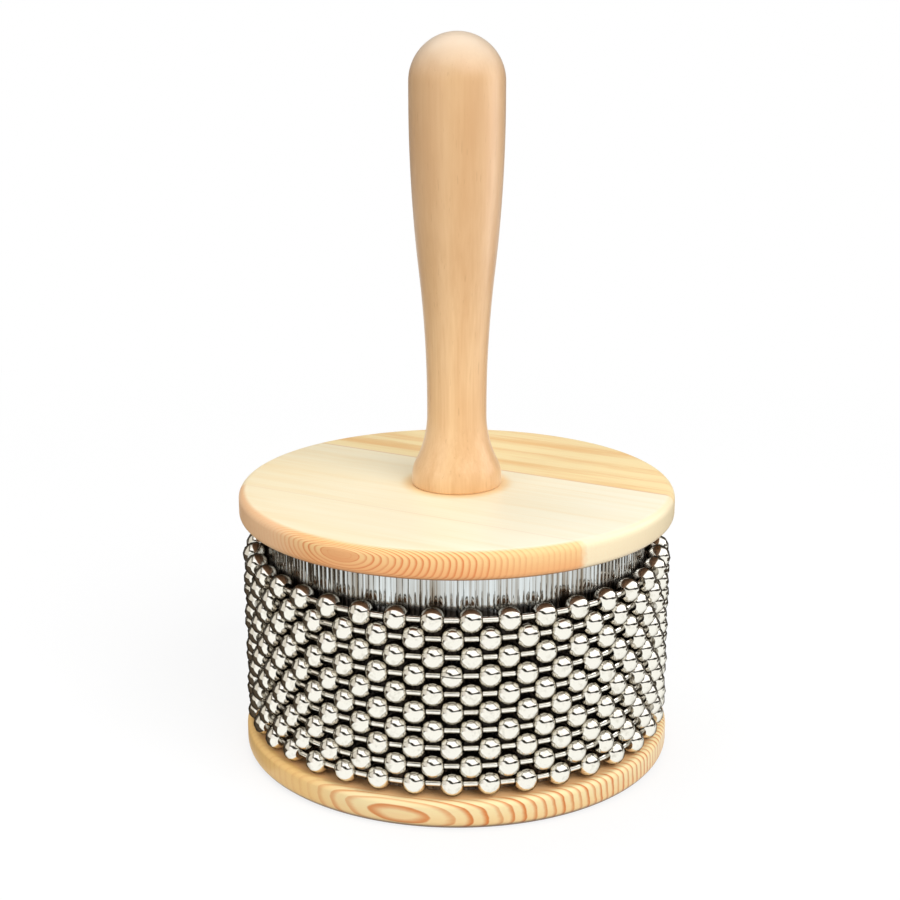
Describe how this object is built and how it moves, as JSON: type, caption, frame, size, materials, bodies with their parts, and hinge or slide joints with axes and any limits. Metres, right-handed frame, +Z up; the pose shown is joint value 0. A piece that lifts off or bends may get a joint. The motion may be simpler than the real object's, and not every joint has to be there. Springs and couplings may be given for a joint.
{
  "type": "cabasa",
  "caption": "Hand cabasa: loops of ball chain round a ribbed steel drum between two wooden discs, on a turned wooden handle.",
  "frame": {"origin": "centre of the bottom disc's underside, on the drum's axis", "axes": "+Z up the handle, -Y the front, +X to the right seen from the front"},
  "size_m": [0.113, 0.113, 0.1847],
  "materials": {
    "turned_wood": "satin lacquer on pale hardwood",
    "disc_wood": "satin lacquer on pine",
    "core_wood": "bare wood",
    "sleeve_steel": "rolled, bright",
    "tack_steel": "bright",
    "bolt_steel": "zinc plated",
    "insert_brass": "turned",
    "ball_nickel": "nickel plated, polished",
    "pin_nickel": "nickel plated, polished"
  },
  "bodies": {
    "drum": {"handle": "turned_wood", "handle_insert": "insert_brass", "top_disc": "disc_wood", "bottom_disc": "disc_wood", "core": "core_wood", "ribbed_sleeve": "sleeve_steel", "sleeve_tacks": "tack_steel", "through_bolt": "bolt_steel"},
    "chain_01": {"chain_01_balls": "ball_nickel", "chain_01_pins": "pin_nickel"},
    "chain_02": {"chain_02_balls": "ball_nickel", "chain_02_pins": "pin_nickel"},
    "chain_03": {"chain_03_balls": "ball_nickel", "chain_03_pins": "pin_nickel"},
    "chain_04": {"chain_04_balls": "ball_nickel", "chain_04_pins": "pin_nickel"},
    "chain_05": {"chain_05_balls": "ball_nickel", "chain_05_pins": "pin_nickel"},
    "chain_06": {"chain_06_balls": "ball_nickel", "chain_06_pins": "pin_nickel"},
    "chain_07": {"chain_07_balls": "ball_nickel", "chain_07_pins": "pin_nickel"},
    "chain_08": {"chain_08_balls": "ball_nickel", "chain_08_pins": "pin_nickel"},
    "chain_09": {"chain_09_balls": "ball_nickel", "chain_09_pins": "pin_nickel"},
    "chain_10": {"chain_10_balls": "ball_nickel", "chain_10_pins": "pin_nickel"}
  },
  "joints": [
    {"name": "chain_spin", "type": "hinge", "parent": "drum", "child": "chain_01", "pos_m": [0, 0, 0.0109], "axis": [0, 0, 1], "continuous": true},
    {"name": "chain_02_lift", "type": "slide", "parent": "chain_01", "child": "chain_02", "axis": [0, 0, 1], "range_m": [0, 0.0008]},
    {"name": "chain_03_lift", "type": "slide", "parent": "chain_01", "child": "chain_03", "axis": [0, 0, 1], "range_m": [0, 0.0016]},
    {"name": "chain_04_lift", "type": "slide", "parent": "chain_01", "child": "chain_04", "axis": [0, 0, 1], "range_m": [0, 0.0024]},
    {"name": "chain_05_lift", "type": "slide", "parent": "chain_01", "child": "chain_05", "axis": [0, 0, 1], "range_m": [0, 0.0032]},
    {"name": "chain_06_lift", "type": "slide", "parent": "chain_01", "child": "chain_06", "axis": [0, 0, 1], "range_m": [0, 0.004]},
    {"name": "chain_07_lift", "type": "slide", "parent": "chain_01", "child": "chain_07", "axis": [0, 0, 1], "range_m": [0, 0.0048]},
    {"name": "chain_08_lift", "type": "slide", "parent": "chain_01", "child": "chain_08", "axis": [0, 0, 1], "range_m": [0, 0.0056]},
    {"name": "chain_09_lift", "type": "slide", "parent": "chain_01", "child": "chain_09", "axis": [0, 0, 1], "range_m": [0, 0.0064]},
    {"name": "chain_10_lift", "type": "slide", "parent": "chain_01", "child": "chain_10", "axis": [0, 0, 1], "range_m": [0, 0.0072]}
  ],
  "couplings": [
    {"joint": "chain_02_lift", "follows": "chain_10_lift", "ratio": 0.11111},
    {"joint": "chain_03_lift", "follows": "chain_10_lift", "ratio": 0.22222},
    {"joint": "chain_04_lift", "follows": "chain_10_lift", "ratio": 0.33333},
    {"joint": "chain_05_lift", "follows": "chain_10_lift", "ratio": 0.44444},
    {"joint": "chain_06_lift", "follows": "chain_10_lift", "ratio": 0.55556},
    {"joint": "chain_07_lift", "follows": "chain_10_lift", "ratio": 0.66667},
    {"joint": "chain_08_lift", "follows": "chain_10_lift", "ratio": 0.77778},
    {"joint": "chain_09_lift", "follows": "chain_10_lift", "ratio": 0.88889}
  ]
}
